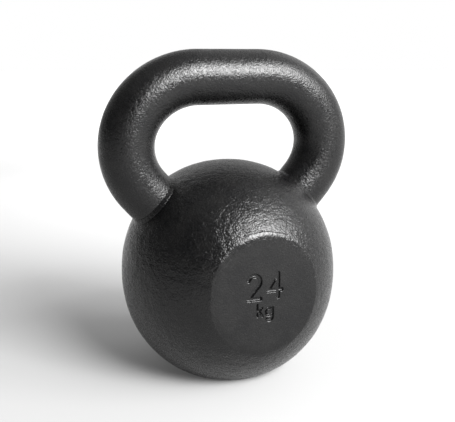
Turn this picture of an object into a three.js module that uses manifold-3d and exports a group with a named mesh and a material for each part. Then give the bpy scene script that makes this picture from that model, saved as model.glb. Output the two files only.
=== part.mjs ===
// A 24 kg kettlebell, in millimetres, +Z up.
//
// The origin is the centre of the flat base. X runs along the grip, and the flat face that carries
// the weight figures looks towards -Y.
//
// The bell is four pieces: a solid cast-iron ball, a round steel bar bent into the handle, whose two
// legs stand in blind sockets in the ball, and the weld bead that runs round each leg.

import * as THREE from "three";
import { mergeVertices } from "three/addons/utils/BufferGeometryUtils.js";
import Module from "manifold-3d";

const wasm = await Module();
wasm.setup();

// Ball. Its outline is a superellipse, turned about the upright axis.
const BALL_RADIUS = 87.1; // at its widest, level with its centre
const BALL_RISE = 90.6; // from its centre to its top
const BALL_FULLNESS = 2.08; // the outline's exponent: 2 is an ellipse, more is squarer
const BASE_DROP = 81; // the flat base lies this far under the ball's centre
const FACE_REACH = 76.8; // each flat face stands this far from the ball's middle plane

// Handle. A straight grip, an elliptical shoulder at each end, then a straight leg into the ball.
const BAR_RADIUS = 21.7;
const GRIP_HALF = 24.5; // half the straight part of the grip
const GRIP_RISE = 156; // the bar's centre above the ball's centre
const SHOULDER_REACH = 58; // the shoulder ellipse's half width, along X
const SHOULDER_DROP = 52.7; // the shoulder ellipse's half height, along Z
const SHOULDER_TURN = THREE.MathUtils.degToRad(128.7); // how far round its ellipse a shoulder goes

// Joint between a leg and the ball.
const SOCKET_DEPTH = 32; // along the leg, under the ball's surface
const LEG_END_GAP = 1.5; // between the leg's end and the socket's floor
const GAP = 0.3; // between touching pieces
const SOCKET_GAP = 0.6; // round the leg, all the way down the socket
const BEAD_WIDTH = 2.6; // the bead's reach up the leg and out over the ball
const BEAD_CROWN = 0.55; // how full the bead is: 0.5 is flat from toe to toe

// Weight figures, sunk into the face towards -Y. Places are measured from the face's middle.
const FIGURE_DEPTH = 1.6;
const DIGIT_HEIGHT = 18;
const DIGIT_STROKE = 3.2;
const DIGIT_BASE = -2;
const TWO_LEFT = -13.5;
const FOUR_LEFT = 2.2;
const UNIT_HEIGHT = 9; // of the letter k
const UNIT_STROKE = 1.9;
const UNIT_BASE = -15.5;
const K_LEFT = -6.1;
const G_LEFT = 0.5;
const JOINT_STEP = 0.6; // strokes that share a corner end this far apart, so no edges coincide
const CUTTER_PROUD = 1; // how far a figure's cutter reaches outside the face

// Proportions of the figures, as shares of their height.
const TWO_BOWL = 0.27; // radius
const FOUR_STEM = 0.46;
const FOUR_BAR = 0.3;
const FOUR_WIDTH = 0.62;
const K_WAIST = 0.3;
const K_ARM = 0.45;
const K_ARM_TOP = 0.68;
const K_LEG_OUT = 0.16; // where the leg leaves the arm
const K_LEG_UP = 0.43;
const G_BOWL = 0.31; // radius
const G_TAIL = 0.14;

// Facets.
const BALL_SIDES = 72;
const BALL_STEPS_UNDER = 16; // from the base up to the widest level
const BALL_STEPS_OVER = 24; // from there to the top
const BAR_SIDES = 24;
const BAR_STEPS = 60;
const BEAD_SIDES = 48;
const STROKE_SEGMENTS = 8; // of a stroke's half-round end
const ARC_STEP = THREE.MathUtils.degToRad(15); // of a curved stroke

const BALL_CENTRE = new THREE.Vector3(0, 0, BASE_DROP);

// Solids and geometries

function asSolid(geometry) {
  const bare = geometry.index ? geometry.toNonIndexed() : geometry.clone();
  bare.deleteAttribute("normal");
  bare.deleteAttribute("uv");
  const merged = mergeVertices(bare);
  return new wasm.Manifold(
    new wasm.Mesh({
      numProp: 3,
      vertProperties: merged.attributes.position.array,
      triVerts: new Uint32Array(merged.index.array),
    }),
  );
}

function asGeometry(solid) {
  const { vertProperties, triVerts } = solid.getMesh();
  const indexed = new THREE.BufferGeometry();
  indexed.setAttribute("position", new THREE.BufferAttribute(vertProperties, 3));
  indexed.setIndex(new THREE.BufferAttribute(triVerts, 1));
  const faceted = indexed.toNonIndexed();
  faceted.computeVertexNormals();
  return faceted;
}

// The ball's rounded surface

// Under 0 inside the ball, over 0 outside it, before its flats are cut.
function ballSide(point) {
  const level = Math.hypot(point.x, point.y) / BALL_RADIUS;
  const height = Math.abs(point.z - BALL_CENTRE.z) / BALL_RISE;
  return level ** BALL_FULLNESS + height ** BALL_FULLNESS - 1;
}

// How far along an outward direction, from a point inside the ball, its surface lies.
function reachOfBall(inside, direction) {
  let near = 0;
  let far = 2 * BALL_RISE;
  for (let halving = 0; halving < 40; halving += 1) {
    const middle = (near + far) / 2;
    const probe = inside.clone().addScaledVector(direction, middle);
    if (ballSide(probe) < 0) near = middle;
    else far = middle;
  }
  return near;
}

function ballBlank() {
  const baseAngle = Math.asin(-((BASE_DROP / BALL_RISE) ** (BALL_FULLNESS / 2)));
  const profile = [new THREE.Vector2(0, 0)];
  for (let step = -BALL_STEPS_UNDER; step < BALL_STEPS_OVER; step += 1) {
    const underShare = -step / BALL_STEPS_UNDER;
    const overShare = step / BALL_STEPS_OVER;
    const angle = step < 0 ? underShare * baseAngle : (overShare * Math.PI) / 2;
    const across = Math.cos(angle) ** (2 / BALL_FULLNESS);
    const up = Math.sign(angle) * Math.abs(Math.sin(angle)) ** (2 / BALL_FULLNESS);
    profile.push(new THREE.Vector2(BALL_RADIUS * across, BASE_DROP + BALL_RISE * up));
  }
  profile.push(new THREE.Vector2(0, BASE_DROP + BALL_RISE));
  return new THREE.LatheGeometry(profile, BALL_SIDES).rotateX(Math.PI / 2);
}

// The handle's centreline

// From the centre of the grip, out along +X and round the shoulder to where the leg starts.
function shoulderPoint(angle) {
  return new THREE.Vector3(
    GRIP_HALF + SHOULDER_REACH * Math.sin(angle),
    0,
    BALL_CENTRE.z + GRIP_RISE - SHOULDER_DROP * (1 - Math.cos(angle)),
  );
}

const legStart = shoulderPoint(SHOULDER_TURN);
const legDirection = new THREE.Vector3(
  SHOULDER_REACH * Math.cos(SHOULDER_TURN),
  0,
  -SHOULDER_DROP * Math.sin(SHOULDER_TURN),
).normalize();
const legOutward = legDirection.clone().negate();

// Where the right leg's axis passes through the ball's surface.
const deepInLeg = legStart.clone().addScaledVector(legDirection, BALL_RADIUS);
const legEntry = deepInLeg.clone().addScaledVector(legOutward, reachOfBall(deepInLeg, legOutward));
const legEnd = legEntry.clone().addScaledVector(legDirection, SOCKET_DEPTH - LEG_END_GAP);

// One half of the handle, as a curve from the grip's middle to the leg's end, is mirrored by the sign.
class HandleLine extends THREE.Curve {
  constructor() {
    super();
    this.arcLengthDivisions = 2000;
  }

  getPoint(t, target = new THREE.Vector3()) {
    const side = Math.sign(t - 0.5) || 1;
    const along = Math.abs(2 * t - 1) * 3; // 0 to 1 is the grip, 1 to 2 the shoulder, 2 to 3 the leg
    if (along < 1) {
      target.copy(shoulderPoint(0));
      target.x *= along;
    } else if (along < 2) {
      target.copy(shoulderPoint((along - 1) * SHOULDER_TURN));
    } else {
      target.lerpVectors(legStart, legEnd, along - 2);
    }
    target.x *= side;
    return target;
  }
}

// Pieces

function handleBar() {
  const section = new THREE.Shape();
  for (let side = 0; side < BAR_SIDES; side += 1) {
    const angle = (2 * Math.PI * side) / BAR_SIDES;
    const corner = [BAR_RADIUS * Math.cos(angle), BAR_RADIUS * Math.sin(angle)];
    if (side === 0) section.moveTo(...corner);
    else section.lineTo(...corner);
  }
  section.closePath();
  return new THREE.ExtrudeGeometry(section, { steps: BAR_STEPS, extrudePath: new HandleLine() });
}

// The blind hole for a leg; side is 1 for the right leg and -1 for the left.
function socketCutter(side) {
  const above = BALL_RADIUS / 2; // clear of the ball's surface at the mouth
  const length = SOCKET_DEPTH + above;
  const cutter = new THREE.CylinderGeometry(
    BAR_RADIUS + SOCKET_GAP,
    BAR_RADIUS + SOCKET_GAP,
    length,
    BAR_SIDES,
  );
  cutter.translate(0, length / 2 - SOCKET_DEPTH, 0);
  cutter.rotateX(Math.PI / 2);
  cutter.rotateY(Math.atan2(legOutward.x, legOutward.z) * side);
  cutter.translate(legEntry.x * side, 0, legEntry.z);
  return cutter;
}

// The bead is a ring of sections round the leg. Each one lies in a plane through the leg's axis, with
// its root in the corner between leg and ball, one toe on the leg and the other on the ball.
function weldBead(side) {
  const upright = new THREE.Vector3(0, 1, 0);
  const sideways = new THREE.Vector3().crossVectors(upright, legOutward);
  const innerRadius = BAR_RADIUS + GAP;

  function ringPoint(angle, radius, lift) {
    const offset = sideways.clone().multiplyScalar(Math.cos(angle) * radius);
    offset.addScaledVector(upright, Math.sin(angle) * radius);
    const below = legEnd.clone().add(offset);
    return below.addScaledVector(legOutward, reachOfBall(below, legOutward) + GAP + lift);
  }

  const corners = [
    [0, 0],
    [BEAD_WIDTH, 0],
    [BEAD_WIDTH * BEAD_CROWN, BEAD_WIDTH * BEAD_CROWN],
    [0, BEAD_WIDTH],
  ];
  const positions = [];
  for (let ring = 0; ring < BEAD_SIDES; ring += 1) {
    const angle = (2 * Math.PI * ring) / BEAD_SIDES;
    for (const [out, lift] of corners) {
      const point = ringPoint(angle, innerRadius + out, lift);
      positions.push(point.x * side, point.y, point.z);
    }
  }
  const index = [];
  for (let ring = 0; ring < BEAD_SIDES; ring += 1) {
    for (let corner = 0; corner < corners.length; corner += 1) {
      const nextRing = (ring + 1) % BEAD_SIDES;
      const nextCorner = (corner + 1) % corners.length;
      const a = ring * corners.length + corner;
      const b = nextRing * corners.length + corner;
      const c = nextRing * corners.length + nextCorner;
      const d = ring * corners.length + nextCorner;
      if (side > 0) index.push(a, b, c, a, c, d);
      else index.push(a, c, b, a, d, c);
    }
  }
  const bead = new THREE.BufferGeometry();
  bead.setAttribute("position", new THREE.Float32BufferAttribute(positions, 3));
  bead.setIndex(index);
  bead.computeVertexNormals();
  return bead;
}

// Weight figures, drawn as seen from the front: across is X, and up is Z.

// The outline of a stroke of even width with round ends, along a spine of two or more points.
function strokeShape(width, spine) {
  const half = width / 2;
  const turns = spine.slice(1).map((point, i) => point.clone().sub(spine[i]).angle());

  function offset(point, angle, reach) {
    return point.clone().add(new THREE.Vector2(Math.cos(angle), Math.sin(angle)).multiplyScalar(reach));
  }

  function corner(i, side) {
    const change = turns[i] - turns[i - 1];
    const bend = Math.atan2(Math.sin(change), Math.cos(change));
    return offset(spine[i], turns[i - 1] + (bend + side * Math.PI) / 2, half / Math.cos(bend / 2));
  }

  function roundEnd(point, turn) {
    const steps = Array.from({ length: STROKE_SEGMENTS + 1 }, (_, k) => k / STROKE_SEGMENTS - 0.5);
    return steps.map((share) => offset(point, turn + Math.PI * share, half));
  }

  const between = spine.map((_, i) => i).slice(1, -1);
  return new THREE.Shape([
    ...between.map((i) => corner(i, -1)),
    ...roundEnd(spine.at(-1), turns.at(-1)),
    ...between.reverse().map((i) => corner(i, 1)),
    ...roundEnd(spine[0], turns[0] + Math.PI),
  ]);
}

// Points along an arc, from the first angle to the second.
function arcSpine(centre, radius, fromDegrees, toDegrees) {
  const from = THREE.MathUtils.degToRad(fromDegrees);
  const sweep = THREE.MathUtils.degToRad(toDegrees) - from;
  const count = Math.ceil(Math.abs(sweep) / ARC_STEP);
  return Array.from({ length: count + 1 }, (_, i) => {
    const angle = from + (sweep * i) / count;
    return new THREE.Vector2(Math.cos(angle), Math.sin(angle)).multiplyScalar(radius).add(centre);
  });
}

function ringShape(width, centre, radius) {
  const ring = new THREE.Shape();
  ring.absarc(centre.x, centre.y, radius + width / 2, 0, 2 * Math.PI);
  const hole = new THREE.Path();
  hole.absarc(centre.x, centre.y, radius - width / 2, 0, 2 * Math.PI);
  ring.holes.push(hole);
  return ring;
}

// A straight stroke. It starts that step along its line, where another stroke has the same corner.
function lineShape(width, [x1, z1], [x2, z2], step = 0) {
  const start = new THREE.Vector2(x1, z1);
  const end = new THREE.Vector2(x2, z2);
  const along = end.clone().sub(start).normalize();
  return strokeShape(width, [start.addScaledVector(along, step), end]);
}

function digitTwo(left, base) {
  const radius = DIGIT_HEIGHT * TWO_BOWL;
  const centre = new THREE.Vector2(left + radius, base + DIGIT_HEIGHT - radius);
  const tip = 165; // degrees, the bowl's open end
  const bend = -38; // where the bowl runs on into the slanting stroke
  const bowl = arcSpine(centre, radius, tip, bend);
  return [
    strokeShape(DIGIT_STROKE, [...bowl, new THREE.Vector2(left, base)]),
    lineShape(DIGIT_STROKE, [left, base], [left + 2 * radius, base], JOINT_STEP),
  ];
}

function digitFour(left, base) {
  const stem = left + DIGIT_HEIGHT * FOUR_STEM;
  const bar = base + DIGIT_HEIGHT * FOUR_BAR;
  const right = left + DIGIT_HEIGHT * FOUR_WIDTH;
  const top = base + DIGIT_HEIGHT;
  return [
    lineShape(DIGIT_STROKE, [stem, base], [stem, top]),
    lineShape(DIGIT_STROKE, [stem, top], [left, bar], 2 * JOINT_STEP),
    lineShape(DIGIT_STROKE, [left, bar], [right, bar], JOINT_STEP),
  ];
}

function letterK(left, base) {
  const waist = base + UNIT_HEIGHT * K_WAIST;
  const right = left + UNIT_HEIGHT * K_ARM;
  const fork = [left + UNIT_HEIGHT * K_LEG_OUT, base + UNIT_HEIGHT * K_LEG_UP];
  return [
    lineShape(UNIT_STROKE, [left, base], [left, base + UNIT_HEIGHT]),
    lineShape(UNIT_STROKE, [left, waist], [right, base + UNIT_HEIGHT * K_ARM_TOP], JOINT_STEP),
    lineShape(UNIT_STROKE, fork, [right, base], JOINT_STEP),
  ];
}

function letterG(left, base) {
  const radius = UNIT_HEIGHT * G_BOWL;
  const middle = left + radius;
  const stem = middle + radius + JOINT_STEP / 2;
  const tail = new THREE.Vector2(stem - radius, base - UNIT_HEIGHT * G_TAIL);
  const tailTip = -150; // degrees round from the stem
  const hook = arcSpine(tail, radius, 0, tailTip);
  return [
    ringShape(UNIT_STROKE, new THREE.Vector2(middle, base + radius), radius),
    strokeShape(UNIT_STROKE, [new THREE.Vector2(stem, base + 2 * radius), ...hook]),
  ];
}

function figureCutters() {
  const strokes = [
    ...digitTwo(TWO_LEFT, DIGIT_BASE),
    ...digitFour(FOUR_LEFT, DIGIT_BASE),
    ...letterK(K_LEFT, UNIT_BASE),
    ...letterG(G_LEFT, UNIT_BASE),
  ];
  return strokes.map((shape) => {
    const cutter = new THREE.ExtrudeGeometry(shape, {
      depth: FIGURE_DEPTH + CUTTER_PROUD,
      bevelEnabled: false,
      curveSegments: STROKE_SEGMENTS,
    });
    cutter.rotateX(Math.PI / 2);
    return cutter.translate(0, FIGURE_DEPTH - FACE_REACH, BALL_CENTRE.z);
  });
}

// Everything beyond a flat face; side is -1 for the front face and 1 for the back one.
function faceCutter(side) {
  const depth = BALL_RADIUS;
  const cutter = new THREE.BoxGeometry(4 * BALL_RADIUS, depth, 4 * BALL_RADIUS);
  return cutter.translate(0, side * (FACE_REACH + depth / 2), BALL_CENTRE.z);
}

function ballCasting() {
  const cutters = [faceCutter(-1), faceCutter(1), socketCutter(-1), socketCutter(1)];
  cutters.push(...figureCutters());
  const blank = asSolid(ballBlank());
  return asGeometry(cutters.reduce((solid, cutter) => solid.subtract(asSolid(cutter)), blank));
}

// Assembly

const enamelOnIron = new THREE.MeshStandardMaterial({ color: 0x1d1d1f, roughness: 0.5, metalness: 0 });
const enamelOnSteel = new THREE.MeshStandardMaterial({ color: 0x202022, roughness: 0.42, metalness: 0 });
const enamelOnWeld = new THREE.MeshStandardMaterial({ color: 0x232325, roughness: 0.38, metalness: 0 });

function piece(name, geometry, material) {
  const mesh = new THREE.Mesh(geometry, material);
  mesh.name = name;
  return mesh;
}

const kettlebell = new THREE.Group();
kettlebell.add(
  piece("ball_casting", ballCasting(), enamelOnIron),
  piece("handle_bar", handleBar(), enamelOnSteel),
  piece("weld_bead_left", weldBead(-1), enamelOnWeld),
  piece("weld_bead_right", weldBead(1), enamelOnWeld),
);

export default kettlebell;
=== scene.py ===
"""A 24 kg kettlebell in black enamel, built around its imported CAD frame.

Metres, +Z up, with the origin at the centre of the base. X runs along the grip, and the flat face
with the sunk weight figures looks towards -Y. Every surface here lies on or just inside the CAD's.
"""

import math

import bmesh
import bpy
import numpy as np
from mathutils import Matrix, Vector, noise


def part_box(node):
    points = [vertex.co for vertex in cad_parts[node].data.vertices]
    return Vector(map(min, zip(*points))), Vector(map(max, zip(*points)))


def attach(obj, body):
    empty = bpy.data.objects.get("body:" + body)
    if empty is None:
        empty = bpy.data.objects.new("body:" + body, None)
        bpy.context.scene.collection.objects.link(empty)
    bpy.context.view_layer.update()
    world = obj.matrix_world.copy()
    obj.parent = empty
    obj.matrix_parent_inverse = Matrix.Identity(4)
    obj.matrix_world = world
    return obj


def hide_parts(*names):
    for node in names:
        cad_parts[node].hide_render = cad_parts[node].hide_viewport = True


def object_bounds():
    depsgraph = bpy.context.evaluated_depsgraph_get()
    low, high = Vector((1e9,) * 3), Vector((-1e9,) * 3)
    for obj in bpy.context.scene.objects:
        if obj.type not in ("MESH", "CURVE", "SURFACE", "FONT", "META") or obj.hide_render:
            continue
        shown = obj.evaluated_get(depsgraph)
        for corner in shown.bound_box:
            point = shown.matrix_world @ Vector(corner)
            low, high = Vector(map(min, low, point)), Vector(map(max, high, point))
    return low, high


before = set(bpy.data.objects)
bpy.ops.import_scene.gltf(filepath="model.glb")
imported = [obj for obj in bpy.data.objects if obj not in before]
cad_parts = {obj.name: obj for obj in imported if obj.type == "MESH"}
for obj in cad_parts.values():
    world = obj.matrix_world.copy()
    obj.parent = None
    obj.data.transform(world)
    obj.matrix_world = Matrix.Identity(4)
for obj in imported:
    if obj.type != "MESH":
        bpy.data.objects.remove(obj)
cad_low, cad_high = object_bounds()

MM = 0.001

# Sizes read from the frame
ball_low, ball_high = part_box("ball_casting")
bar_low, bar_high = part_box("handle_bar")
BALL_RADIUS = ball_high.x
FACE_REACH = ball_high.y  # from the ball's middle plane to each flat face
BAR_RADIUS = bar_high.y
GRIP_LEVEL = bar_high.z - BAR_RADIUS  # height of the grip's centreline

# The rest of the shape, as the CAD has it
BALL_LEVEL = 81 * MM  # height of the ball's centre
BALL_RISE = ball_high.z - BALL_LEVEL
BALL_FULLNESS = 2.08  # exponent of the ball's outline
GRIP_HALF = 24.5 * MM  # half of the straight grip
SHOULDER_REACH = bar_high.x - BAR_RADIUS - GRIP_HALF
SHOULDER_DROP = 52.7 * MM
SHOULDER_TURN = math.radians(128.7)
SOCKET_DEPTH = 32 * MM
LEG_END_GAP = 1.5 * MM
SOCKET_GAP = 0.6 * MM
BEAD_WIDTH = 2.6 * MM
BEAD_CROWN = 0.5
FIGURE_DEPTH = 1.6 * MM

# Softened edges
LIP_BLEND = 1.6 * MM  # between a flat face and the ball
BASE_BLEND = 2.6 * MM  # between the base and the ball
FIGURE_WALL = 0.8 * MM  # width of a figure's sloping wall

# Unevenness of the castings: (size across, depth), all of it cut inwards
CAST_WAVES = (26 * MM, 0.30 * MM)
CAST_RIPPLES = (7 * MM, 0.20 * MM)
BAR_WAVES = (45 * MM, 0.24 * MM)
BAR_RIPPLES = (6 * MM, 0.09 * MM)
PATCH_SIZE = 60 * MM  # the ripples are stronger in some patches of this size than in others
FLAT_SMOOTHING = 0.72  # share of the ripples that is dressed off the flats

# Grain of the enamel: the size of its cells, and how coarse it is on the flats beside 1 on the round
FLAT_GRAIN = 0.45
PEEL_CELL = 1.2 * MM
LUMP_CELL = 4.5 * MM
GRIT_CELL = 0.5 * MM
GLOSS_CELL = 2.4 * MM
TONE_CELL = 14 * MM
GLOSS_SPREAD = 0.07  # either way from the mean roughness
ENAMEL_IOR = 1.38
DARKEST = (0.0022, 0.0022, 0.0024)
LIGHTEST = (0.0048, 0.0047, 0.0047)


# Small helpers

def smooth_min(a, b, blend):
    """The lesser of a and b, with the corner between them rounded over that difference."""
    share = np.clip(0.5 + 0.5 * (b - a) / blend, 0, 1)
    return b + (a - b) * share - blend * share * (1 - share)


def smooth_step(value, low, high):
    t = np.clip((value - low) / (high - low), 0, 1)
    return t * t * (3 - 2 * t)


def unevenness(points, size, shift, octaves=2):
    """Smooth noise from 0 to about 1 at each point, with lumps of that size."""
    offset = Vector((shift, 2.3 * shift, -1.7 * shift))
    values = [
        noise.fractal(Vector(p) / size + offset, 1.0, 2.1, octaves, noise_basis="PERLIN_ORIGINAL")
        for p in points
    ]
    return np.clip(0.5 + 0.5 * np.array(values), 0, 1)


def new_piece(name, points, faces):
    mesh = bpy.data.meshes.new(name)
    mesh.from_pydata(np.asarray(points).tolist(), [], faces)
    mesh.update()
    mesh.shade_smooth()
    piece = bpy.data.objects.new(name, mesh)
    bpy.context.scene.collection.objects.link(piece)
    return piece


# The ball's surface

def ball_reach(directions):
    """How far the uncut ball's surface lies from its centre, along each direction."""
    level = np.hypot(directions[:, 0], directions[:, 1]) / BALL_RADIUS
    height = np.abs(directions[:, 2]) / BALL_RISE
    return (level**BALL_FULLNESS + height**BALL_FULLNESS) ** (-1 / BALL_FULLNESS)


def plane_reach(toward, distance):
    """How far along each direction a plane lies, from how much the direction heads for it."""
    return distance / np.maximum(toward, 0.01)


# The handle's centreline

def shoulder_point(angle):
    return np.array([
        GRIP_HALF + SHOULDER_REACH * math.sin(angle),
        0.0,
        GRIP_LEVEL - SHOULDER_DROP * (1 - math.cos(angle)),
    ])


leg_start = shoulder_point(SHOULDER_TURN)
leg_down = np.array([
    SHOULDER_REACH * math.cos(SHOULDER_TURN),
    0.0,
    -SHOULDER_DROP * math.sin(SHOULDER_TURN),
])
leg_down /= np.linalg.norm(leg_down)
ball_centre = np.array([0.0, 0.0, BALL_LEVEL])


def reach_from(inside, outward):
    """From points inside the ball, how far the ball's surface lies along one direction."""
    halvings = 40
    near = np.zeros(len(inside))
    far = np.full(len(inside), 2 * BALL_RISE)
    for _ in range(halvings):
        middle = (near + far) / 2
        probe = inside + middle[:, None] * outward - ball_centre
        length = np.linalg.norm(probe, axis=1)
        is_inside = length < ball_reach(probe / length[:, None])
        near = np.where(is_inside, middle, near)
        far = np.where(is_inside, far, middle)
    return near


deep_in_leg = leg_start + BALL_RADIUS * leg_down
leg_entry = deep_in_leg - reach_from(deep_in_leg[None], -leg_down)[0] * leg_down
leg_end = leg_entry + (SOCKET_DEPTH - LEG_END_GAP) * leg_down


# Weight figures: strokes of even width with round ends. Places are across and up from the middle
# of the face, and proportions are shares of a figure's height.

DIGIT_HEIGHT = 18 * MM
DIGIT_STROKE = 3.2 * MM
DIGIT_BASE = -2 * MM
TWO_LEFT = -13.5 * MM
TWO_BOWL = 0.27
FOUR_LEFT = 2.2 * MM
FOUR_STEM = 0.46
FOUR_BAR = 0.3
FOUR_WIDTH = 0.62
UNIT_HEIGHT = 9 * MM
UNIT_STROKE = 1.9 * MM
UNIT_BASE = -15.5 * MM
K_LEFT = -6.1 * MM
K_WAIST = 0.3
K_ARM = 0.45
K_ARM_TOP = 0.68
K_FORK = (0.16, 0.43)
G_LEFT = 0.5 * MM
G_BOWL = 0.31
G_STEM_OUT = 0.3 * MM
G_TAIL = 0.14


def line_depth(width, start, end):
    """A function giving how far inside a straight stroke's edge each point lies."""
    start, end = np.array(start), np.array(end)

    def inside(points):
        along = np.clip((points - start) @ (end - start) / ((end - start) @ (end - start)), 0, 1)
        return width / 2 - np.linalg.norm(points - start - along[:, None] * (end - start), axis=1)

    return inside


def arc_depth(width, centre, radius, from_degrees, to_degrees):
    """The same for an arc that runs anticlockwise between two angles."""
    centre = np.array(centre)
    middle = math.radians((from_degrees + to_degrees) / 2)
    half = math.radians((to_degrees - from_degrees) / 2)

    def inside(points):
        away = points - centre
        angle = np.arctan2(away[:, 1], away[:, 0]) - middle
        angle = (angle + math.pi) % (2 * math.pi) - math.pi
        nearest = middle + np.clip(angle, -half, half)
        spine = centre + radius * np.stack([np.cos(nearest), np.sin(nearest)], 1)
        return width / 2 - np.linalg.norm(points - spine, axis=1)

    return inside


def digit_two(left, base):
    radius = TWO_BOWL * DIGIT_HEIGHT
    centre = (left + radius, base + DIGIT_HEIGHT - radius)
    tip, bend = 165, -38  # degrees: the bowl's open end, and where it runs into the slanting stroke
    turn = math.radians(bend)
    bend_point = (centre[0] + radius * math.cos(turn), centre[1] + radius * math.sin(turn))
    return [
        arc_depth(DIGIT_STROKE, centre, radius, bend, tip),
        line_depth(DIGIT_STROKE, bend_point, (left, base)),
        line_depth(DIGIT_STROKE, (left, base), (left + 2 * radius, base)),
    ]


def digit_four(left, base):
    stem = left + FOUR_STEM * DIGIT_HEIGHT
    bar = base + FOUR_BAR * DIGIT_HEIGHT
    return [
        line_depth(DIGIT_STROKE, (stem, base), (stem, base + DIGIT_HEIGHT)),
        line_depth(DIGIT_STROKE, (stem, base + DIGIT_HEIGHT), (left, bar)),
        line_depth(DIGIT_STROKE, (left, bar), (left + FOUR_WIDTH * DIGIT_HEIGHT, bar)),
    ]


def letter_k(left, base):
    waist = (left, base + K_WAIST * UNIT_HEIGHT)
    right = left + K_ARM * UNIT_HEIGHT
    fork = (left + K_FORK[0] * UNIT_HEIGHT, base + K_FORK[1] * UNIT_HEIGHT)
    return [
        line_depth(UNIT_STROKE, (left, base), (left, base + UNIT_HEIGHT)),
        line_depth(UNIT_STROKE, waist, (right, base + K_ARM_TOP * UNIT_HEIGHT)),
        line_depth(UNIT_STROKE, fork, (right, base)),
    ]


def letter_g(left, base):
    radius = G_BOWL * UNIT_HEIGHT
    middle = left + radius
    stem = middle + radius + G_STEM_OUT
    tail = base - G_TAIL * UNIT_HEIGHT
    tail_tip = -150  # degrees round from the stem
    return [
        arc_depth(UNIT_STROKE, (middle, base + radius), radius, -180, 180),
        line_depth(UNIT_STROKE, (stem, base + 2 * radius), (stem, tail)),
        arc_depth(UNIT_STROKE, (stem - radius, tail), radius, tail_tip, 0),
    ]


def figure_depth(across, up):
    """How deep the figures are cut at each point of the face."""
    points = np.stack([across, up], 1)
    strokes = [
        *digit_two(TWO_LEFT, DIGIT_BASE),
        *digit_four(FOUR_LEFT, DIGIT_BASE),
        *letter_k(K_LEFT, UNIT_BASE),
        *letter_g(G_LEFT, UNIT_BASE),
    ]
    inside = np.max([stroke(points) for stroke in strokes], axis=0)
    return FIGURE_DEPTH * smooth_step(inside, -0.1 * FIGURE_WALL, 0.9 * FIGURE_WALL)


# Ball casting

def ball_ray_mesh():
    """A unit sphere of even triangles, finer where the front face, its lip and its figures will be."""
    behind = -0.5  # rays less steep towards the front than this don't meet the front face
    face_margin = 5 * MM
    lip_inside, lip_outside = 6 * MM, 2.5 * MM
    figures_across, figures_low, figures_high = 24 * MM, -32 * MM, 28 * MM
    face_radius = FACE_REACH * math.tan(math.acos(FACE_REACH / BALL_RADIUS))
    lip = 1.09 * face_radius  # the ball is fuller than a sphere, so its lip lies further out
    rays = bmesh.new()
    bmesh.ops.create_icosphere(rays, subdivisions=7, radius=1)

    def refine(wanted):
        edges = {e for f in rays.faces if wanted(f) for e in f.edges}
        bmesh.ops.subdivide_edges(rays, edges=list(edges), cuts=1, use_grid_fill=True)
        for vert in rays.verts:
            vert.co.normalize()

    def on_face(face):
        """Where on the front face's plane this face's middle points, or None behind it."""
        middle = face.calc_center_median()
        if middle.y > behind:
            return None
        scale = FACE_REACH / -middle.y
        return scale * middle.x, scale * middle.z

    def whole_face(face):
        spot = on_face(face)
        return spot is not None and math.hypot(*spot) < lip + face_margin

    def figures_or_lip(face):
        spot = on_face(face)
        if spot is None:
            return False
        in_figures = abs(spot[0]) < figures_across and figures_low < spot[1] < figures_high
        return in_figures or lip - lip_inside < math.hypot(*spot) < lip + lip_outside

    refine(whole_face)
    refine(figures_or_lip)
    return rays


def socket_cutter(side):
    """The blind hole for a leg, as a closed drum."""
    sides = 96
    angles = np.linspace(0, 2 * math.pi, sides, endpoint=False)
    across = np.array([leg_down[2], 0, -leg_down[0]])
    ring = np.cos(angles)[:, None] * across + np.sin(angles)[:, None] * np.array([0, 1.0, 0])
    ring *= BAR_RADIUS + SOCKET_GAP
    floor = leg_entry + SOCKET_DEPTH * leg_down + ring
    mouth = leg_entry - 0.5 * BALL_RADIUS * leg_down + ring
    points = np.concatenate([floor, mouth])
    points[:, 0] *= side
    faces = [list(range(sides)), list(range(2 * sides - 1, sides - 1, -1))]
    for i in range(sides):
        j = (i + 1) % sides
        faces.append([i, sides + i, sides + j, j])
    drum = new_piece("socket_cutter", points, faces)
    tidy = bmesh.new()
    tidy.from_mesh(drum.data)
    bmesh.ops.recalc_face_normals(tidy, faces=tidy.faces)
    tidy.to_mesh(drum.data)
    tidy.free()
    return drum


def cut(piece, cutters):
    """Cuts the sockets, and leaves the result as the piece's own mesh."""
    for cutter in cutters:
        boolean = piece.modifiers.new("socket", "BOOLEAN")
        boolean.operation = "DIFFERENCE"
        boolean.solver = "EXACT"
        boolean.object = cutter
    graph = bpy.context.evaluated_depsgraph_get()
    made = bpy.data.meshes.new_from_object(piece.evaluated_get(graph))
    piece.modifiers.clear()
    piece.data = made
    for cutter in cutters:
        bpy.data.objects.remove(cutter)


def store_grain(mesh):
    """Marks how coarse the grain is at each point: fine on the dressed flats, coarse on the round."""
    fine_within, coarse_beyond = 0.3 * MM, 1.2 * MM  # depths under the flat's plane
    figures_across = 20 * MM
    places = np.empty(3 * len(mesh.vertices))
    mesh.vertices.foreach_get("co", places)
    places = places.reshape(-1, 3)
    depth = FACE_REACH - np.abs(places[:, 1])
    coarse = FLAT_GRAIN + (1 - FLAT_GRAIN) * smooth_step(depth, fine_within, coarse_beyond)
    in_figures = (np.abs(places[:, 0]) < figures_across) & (depth < 1.2 * FIGURE_DEPTH)
    coarse = np.where(in_figures, FLAT_GRAIN, coarse)
    mesh.attributes.new("grain", "FLOAT", "POINT").data.foreach_set("value", coarse)


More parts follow.
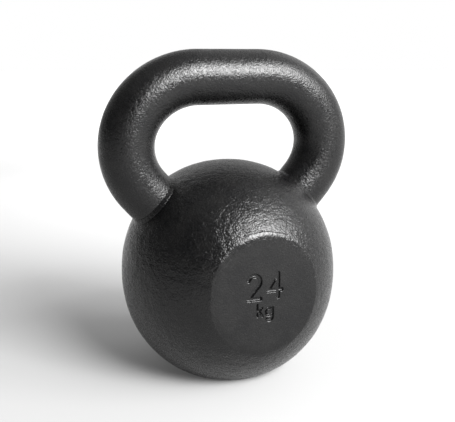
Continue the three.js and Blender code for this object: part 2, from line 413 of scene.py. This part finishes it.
def make_ball():
    rays = ball_ray_mesh()
    rays.verts.ensure_lookup_table()
    directions = np.array([v.co for v in rays.verts])
    faces = [[v.index for v in f.verts] for f in rays.faces]
    rays.free()

    rounded = ball_reach(directions)
    front = plane_reach(-directions[:, 1], FACE_REACH)
    back = plane_reach(directions[:, 1], FACE_REACH)
    base = plane_reach(-directions[:, 2], BALL_LEVEL)
    reach = smooth_min(rounded, front, LIP_BLEND)
    reach = smooth_min(reach, back, LIP_BLEND)
    reach = smooth_min(reach, base, BASE_BLEND)
    flat_from = 3 * MM  # how far a flat must lie under the round to count as wholly flat
    flatness = smooth_step(rounded - np.minimum(np.minimum(front, back), base), 0, flat_from)

    points = directions * reach[:, None]
    waves = unevenness(points, CAST_WAVES[0], shift=3.1)
    ripples = unevenness(points, CAST_RIPPLES[0], shift=7.7)
    patches = 0.55 + 0.9 * unevenness(points, PATCH_SIZE, shift=11.0, octaves=1)
    cut_in = CAST_WAVES[1] * waves * (1 - flatness)
    cut_in += CAST_RIPPLES[1] * patches * ripples * (1 - FLAT_SMOOTHING * flatness)
    base_rim = 4 * MM
    cut_in *= smooth_step(points[:, 2], -BALL_LEVEL, -BALL_LEVEL + base_rim)  # the base stays flat
    points -= directions * cut_in[:, None]

    on_front = directions[:, 1] < -0.5
    sunk = figure_depth(points[on_front, 0], points[on_front, 2])
    points[on_front, 1] += sunk
    ball = new_piece("ball", points + ball_centre, faces)
    cut(ball, [socket_cutter(-1), socket_cutter(1)])
    ball.data.shade_smooth()
    store_grain(ball.data)
    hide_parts("ball_casting")
    return ball


# Handle bar

def handle_line(steps):
    """Evenly spaced points along the whole centreline, with the outward normal at each."""
    fine = [np.array([GRIP_HALF * t, 0, GRIP_LEVEL]) for t in np.linspace(0, 1, 60)]
    fine += [shoulder_point(SHOULDER_TURN * t) for t in np.linspace(0, 1, 600)[1:]]
    fine += [leg_start + (leg_end - leg_start) * t for t in np.linspace(0, 1, 60)[1:]]
    fine = np.array(fine)
    mirrored = fine[:0:-1] * np.array([-1, 1, 1])
    line = np.concatenate([mirrored, fine])
    lengths = np.concatenate([[0], np.cumsum(np.linalg.norm(np.diff(line, axis=0), axis=1))])
    places = np.linspace(0, lengths[-1], steps)
    points = np.stack([np.interp(places, lengths, line[:, i]) for i in range(3)], 1)
    tangents = np.gradient(points, axis=0)
    tangents /= np.linalg.norm(tangents, axis=1)[:, None]
    normals = np.stack([-tangents[:, 2], np.zeros(steps), tangents[:, 0]], 1)
    return points, normals


def make_handle():
    sides, steps = 160, 300
    centres, normals = handle_line(steps)
    chamfer = 1.2 * MM
    angles = np.linspace(0, 2 * math.pi, sides, endpoint=False)
    outward = normals[:, None, :] * np.cos(angles)[None, :, None]
    outward = outward + np.array([0, 1.0, 0]) * np.sin(angles)[None, :, None]
    points = (centres[:, None, :] + BAR_RADIUS * outward).reshape(-1, 3)
    directions = outward.reshape(-1, 3)
    cut_in = BAR_WAVES[1] * unevenness(points, BAR_WAVES[0], shift=5.2)
    cut_in += BAR_RIPPLES[1] * unevenness(points, BAR_RIPPLES[0], shift=9.4)
    points -= directions * cut_in[:, None]
    rings = points.reshape(steps, sides, 3)
    rings[0] = centres[0] + (BAR_RADIUS - chamfer) * outward[0]
    rings[-1] = centres[-1] + (BAR_RADIUS - chamfer) * outward[-1]
    faces = []
    for step in range(steps - 1):
        for side in range(sides):
            a = step * sides + side
            b = step * sides + (side + 1) % sides
            faces.append([a, a + sides, b + sides, b])
    faces.append(list(range(sides)))
    faces.append([(steps - 1) * sides + side for side in range(sides - 1, -1, -1)])
    handle = new_piece("handle", rings.reshape(-1, 3), faces)
    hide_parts("handle_bar")
    return handle


# Weld beads

def make_bead(name, side, node):
    """A ring of sections round the leg: up from the root to a toe on the leg, over the crown, and
    down to a toe on the ball."""
    rings, crown_points = 288, 9
    angles = np.linspace(0, 2 * math.pi, rings, endpoint=False)
    across = np.cross([0, 1.0, 0], -leg_down)
    spread = np.cos(angles)[:, None] * across + np.sin(angles)[:, None] * np.array([0, 1.0, 0])
    circle = np.stack([np.cos(angles), np.sin(angles), np.zeros(rings)], 1)
    narrowing = 0.14  # share of the width that the bead may lose
    width = BEAD_WIDTH * (1 - narrowing + narrowing * unevenness(circle, 0.5, 2.0 + side))
    travel = angles * (BAR_RADIUS + BEAD_WIDTH / 2)
    pitch = 3.6 * MM  # from one scallop to the next
    scallop_depth = 0.16 * MM
    wobble = 0.25 * pitch * unevenness(circle, 0.3, 6.0 + side)
    scallop = np.abs(np.sin(math.pi * (travel + wobble) / pitch))

    # The root and the toes lie this far under the smooth surfaces they meet. The cast texture is cut
    # into those surfaces, so here and there it leaves a toe just clear of the ball.
    sunk = 0.25 * MM
    bulge = 2 * BEAD_CROWN - 0.5  # the control point of the curve whose middle is the crown
    section = []  # (out from the leg, up from the ball, share of the scallop)
    for t in np.linspace(0, 1, crown_points):
        out = 2 * t * (1 - t) * bulge + t * t
        up = (1 - t) ** 2 + 2 * t * (1 - t) * bulge
        section.append((out, up, math.sin(math.pi * t)))
    points = []
    for out, up, share in section:
        trim = share * scallop_depth * (1 - scallop)
        radius = BAR_RADIUS - sunk + out * width - trim
        below = leg_end + spread * radius[:, None]
        lift = reach_from(below, -leg_down) - sunk + up * width - trim
        points.append(below - lift[:, None] * leg_down)
    radius = BAR_RADIUS - sunk
    below = leg_end + spread * radius
    lift = reach_from(below, -leg_down) - sunk
    points.append(below - lift[:, None] * leg_down)
    grid = np.stack(points, 1)
    grid[:, :, 0] *= side
    count = grid.shape[1]
    faces = []
    for ring in range(rings):
        for corner in range(count):
            a = ring * count + corner
            b = ring * count + (corner + 1) % count
            c = (ring + 1) % rings * count + (corner + 1) % count
            d = (ring + 1) % rings * count + corner
            faces.append([a, b, c, d] if side > 0 else [d, c, b, a])
    bead = new_piece(name, grid.reshape(-1, 3), faces)
    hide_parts(node)
    return bead


# Materials

def enamel(name, lumps, peel, grit, roughness, grain_varies=False):
    """Black stoved enamel over rough metal. Its lumps, orange peel and grit are given as depths."""
    material = bpy.data.materials.new(name)
    material.use_nodes = True
    nodes, links = material.node_tree.nodes, material.node_tree.links
    shader = nodes["Principled BSDF"]
    place = nodes.new("ShaderNodeTexCoord").outputs["Object"]

    def noise_at(size, detail=2.0, roughness=0.5, distortion=0.0):
        node = nodes.new("ShaderNodeTexNoise")
        node.inputs["Scale"].default_value = 1 / size
        node.inputs["Detail"].default_value = detail
        node.inputs["Roughness"].default_value = roughness
        node.inputs["Distortion"].default_value = distortion
        links.new(place, node.inputs["Vector"])
        return node.outputs["Fac"]

    def math_node(operation, a, b):
        node = nodes.new("ShaderNodeMath")
        node.operation = operation
        links.new(a, node.inputs[0])
        if isinstance(b, float):
            node.inputs[1].default_value = b
        else:
            links.new(b, node.inputs[1])
        return node.outputs[0]

    def ramp(value, low, high, at=(0.35, 0.65)):
        node = nodes.new("ShaderNodeValToRGB")
        node.color_ramp.elements[0].position = at[0]
        node.color_ramp.elements[1].position = at[1]
        node.color_ramp.elements[0].color = (*low, 1)
        node.color_ramp.elements[1].color = (*high, 1)
        links.new(value, node.inputs["Fac"])
        return node.outputs["Color"]

    def grey(value):
        return (value, value, value)

    height = math_node("MULTIPLY", noise_at(PEEL_CELL, detail=1.0, roughness=0.6), peel)
    coarse = math_node("MULTIPLY", noise_at(LUMP_CELL, distortion=0.6), lumps)
    height = math_node("ADD", height, coarse)
    if grain_varies:
        grain = nodes.new("ShaderNodeAttribute")
        grain.attribute_name = "grain"
        height = math_node("MULTIPLY", height, grain.outputs["Fac"])
    height = math_node("ADD", height, math_node("MULTIPLY", noise_at(GRIT_CELL), grit))
    bump = nodes.new("ShaderNodeBump")
    bump.inputs["Strength"].default_value = 1.0
    bump.inputs["Distance"].default_value = 1.0
    links.new(height, bump.inputs["Height"])
    links.new(bump.outputs["Normal"], shader.inputs["Normal"])

    tone = ramp(noise_at(TONE_CELL, detail=5.0, roughness=0.65), DARKEST, LIGHTEST)
    links.new(tone, shader.inputs["Base Color"])
    glossy, dull = grey(roughness - GLOSS_SPREAD), grey(roughness + GLOSS_SPREAD)
    gloss = ramp(noise_at(GLOSS_CELL, roughness=0.6), glossy, dull)
    links.new(gloss, shader.inputs["Roughness"])
    shader.inputs["IOR"].default_value = ENAMEL_IOR
    return material


# Studio. Angles are in degrees: azimuth 0 is in front of the figures, and 90 is +X.

VIEW_AZIMUTH = -21.1
VIEW_ELEVATION = 16.4
CAMERA_DISTANCE = 7 * BALL_RADIUS
FLOOR_GREY = 0.33
FLOOR_RADIUS = 12
PAINTED_POOL_DISTANCE = 1.1  # metres from the object to the middle of the painted pool of light on the floor behind it
REFLECTORS = [  # azimuth, elevation, half width in degrees, radiance
    (90, 25, 48, 1.05),
    (150, 15, 40, 0.6),
    (-160, 20, 30, 0.35),
    (-100, 20, 35, 0.12),
    (0, 85, 40, 0.4),
]
REFLECTOR_EDGE, REFLECTOR_CORE = 1.25, 0.45  # where a reflector ends and is full, in half widths


def toward(azimuth, elevation):
    """The unit vector to that side of the object."""
    a, e = math.radians(azimuth), math.radians(elevation)
    return Vector((math.sin(a) * math.cos(e), -math.cos(a) * math.cos(e), math.sin(e)))


def floor_material():
    material = bpy.data.materials.new("pale_floor_painted_glow")
    material.use_nodes = True
    nodes, links = material.node_tree.nodes, material.node_tree.links
    shader = nodes["Principled BSDF"]
    shader.inputs["Base Color"].default_value = (FLOOR_GREY, FLOOR_GREY, FLOOR_GREY, 1)
    shader.inputs["Roughness"].default_value = 0.8
    place = nodes.new("ShaderNodeTexCoord").outputs["Object"]

    def glow(centre, starts, peaks, least, most):
        """How strongly painted light glows from the paper as emission, by its distance in metres from
        a spot on it.
        """
        distance = nodes.new("ShaderNodeVectorMath")
        distance.operation = "DISTANCE"
        links.new(place, distance.inputs[0])
        distance.inputs[1].default_value = centre
        spread = nodes.new("ShaderNodeMapRange")
        spread.interpolation_type = "SMOOTHSTEP"
        spread.inputs["From Min"].default_value = starts
        spread.inputs["From Max"].default_value = peaks
        spread.inputs["To Min"].default_value = least
        spread.inputs["To Max"].default_value = most
        links.new(distance.outputs["Value"], spread.inputs["Value"])
        return spread.outputs["Result"]

    # Painted light: the paper is given emission. It is faint all over, stronger in a painted pool of
    # light behind the object, and far away it runs into the white of the room.
    behind = PAINTED_POOL_DISTANCE * toward(180 + VIEW_AZIMUTH, 0)
    painted_light_pool = glow(behind, starts=1.15, peaks=0.35, least=0, most=0.5)
    painted_far_glow = glow((0, 0, 0), starts=1.1, peaks=2.2, least=0.07, most=0.95)
    total = nodes.new("ShaderNodeMath")
    total.operation = "ADD"
    links.new(painted_light_pool, total.inputs[0])
    links.new(painted_far_glow, total.inputs[1])
    # The painted light goes into the floor as emission, so the floor glows though it is no lamp.
    shader.inputs["Emission Color"].default_value = (1, 1, 1, 1)
    links.new(total.outputs["Value"], shader.inputs["Emission Strength"])
    return material


def make_floor():
    plate = bmesh.new()
    bmesh.ops.create_circle(plate, cap_ends=True, segments=96, radius=FLOOR_RADIUS)
    mesh = bpy.data.meshes.new("floor")
    plate.to_mesh(mesh)
    plate.free()
    floor = bpy.data.objects.new("floor", mesh)
    bpy.context.scene.collection.objects.link(floor)
    floor.location.z = -0.1 * MM
    mesh.materials.append(floor_material())


def softbox(name, azimuth, elevation, distance, width, height, radiance):
    """A soft light that faces the object. Its radiance is what a mirror would show."""
    data = bpy.data.lights.new(name, "AREA")
    data.shape = "RECTANGLE"
    data.size, data.size_y = width, height
    data.energy = radiance * math.pi * width * height
    lamp = bpy.data.objects.new(name, data)
    bpy.context.scene.collection.objects.link(lamp)
    away = toward(azimuth, elevation)
    lamp.location = Vector((0, 0, 0.5 * cad_high.z)) + distance * away
    lamp.rotation_euler = away.to_track_quat("Z", "Y").to_euler()


def make_world():
    """A dim room with soft pale reflectors, that looks white where nothing stands in front of it."""
    world = bpy.data.worlds.new("studio")
    bpy.context.scene.world = world
    world.use_nodes = True
    nodes, links = world.node_tree.nodes, world.node_tree.links
    background = nodes["Background"]
    direction = nodes.new("ShaderNodeTexCoord").outputs["Generated"]
    glow = None
    for azimuth, elevation, half_width, radiance in REFLECTORS:
        facing = nodes.new("ShaderNodeVectorMath")
        facing.operation = "DOT_PRODUCT"
        links.new(direction, facing.inputs[0])
        facing.inputs[1].default_value = toward(azimuth, elevation)
        spread = nodes.new("ShaderNodeMapRange")
        spread.interpolation_type = "SMOOTHSTEP"
        spread.inputs["From Min"].default_value = math.cos(math.radians(REFLECTOR_EDGE * half_width))
        spread.inputs["From Max"].default_value = math.cos(math.radians(REFLECTOR_CORE * half_width))
        spread.inputs["To Max"].default_value = radiance
        links.new(facing.outputs["Value"], spread.inputs["Value"])
        if glow is None:
            glow = spread.outputs["Result"]
            continue
        total = nodes.new("ShaderNodeMath")
        total.operation = "ADD"
        links.new(glow, total.inputs[0])
        links.new(spread.outputs["Result"], total.inputs[1])
        glow = total.outputs[0]
    seen = nodes.new("ShaderNodeMix")
    links.new(nodes.new("ShaderNodeLightPath").outputs["Is Camera Ray"], seen.inputs["Factor"])
    links.new(glow, seen.inputs["A"])
    seen.inputs["B"].default_value = 1.0
    links.new(seen.outputs["Result"], background.inputs["Strength"])
    background.inputs["Color"].default_value = (1, 1, 1, 1)


def make_camera():
    """Level with the top of the handle, a little to the left of the face with the figures."""
    data = bpy.data.cameras.new("camera")
    data.lens = 58
    data.sensor_width = 36
    camera = bpy.data.objects.new("camera", data)
    bpy.context.scene.collection.objects.link(camera)
    camera.location = Vector(ball_centre) + CAMERA_DISTANCE * toward(VIEW_AZIMUTH, VIEW_ELEVATION)
    aim = Vector((0, 0, 0.5 * cad_high.z))
    camera.rotation_euler = (camera.location - aim).to_track_quat("Z", "Y").to_euler()
    bpy.context.scene.camera = camera


make_camera()
make_world()
make_floor()
softbox("key_softbox", azimuth=38, elevation=33, distance=2.3, width=2.0, height=1.4, radiance=11)
softbox("key_core", azimuth=21, elevation=31, distance=2.1, width=1.15, height=0.9, radiance=35)

ball = make_ball()
handle = make_handle()
bead_left = make_bead("bead_left", -1, "weld_bead_left")
bead_right = make_bead("bead_right", 1, "weld_bead_right")

enamel_on_iron = enamel(
    "enamel_on_iron", lumps=0.6 * MM, peel=0.42 * MM, grit=0.05 * MM, roughness=0.26, grain_varies=True
)
enamel_on_bar = enamel(
    "enamel_on_bar", lumps=0.25 * MM, peel=0.34 * MM, grit=0.05 * MM, roughness=0.28
)
enamel_on_weld = enamel(
    "enamel_on_weld", lumps=0.1 * MM, peel=0.2 * MM, grit=0.04 * MM, roughness=0.24
)
ball.data.materials.clear()
ball.data.materials.append(enamel_on_iron)
handle.data.materials.append(enamel_on_bar)
for bead in (bead_left, bead_right):
    bead.data.materials.append(enamel_on_weld)
for piece in (ball, handle, bead_left, bead_right):
    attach(piece, "root")

bpy.context.scene.view_settings.view_transform = "Standard"
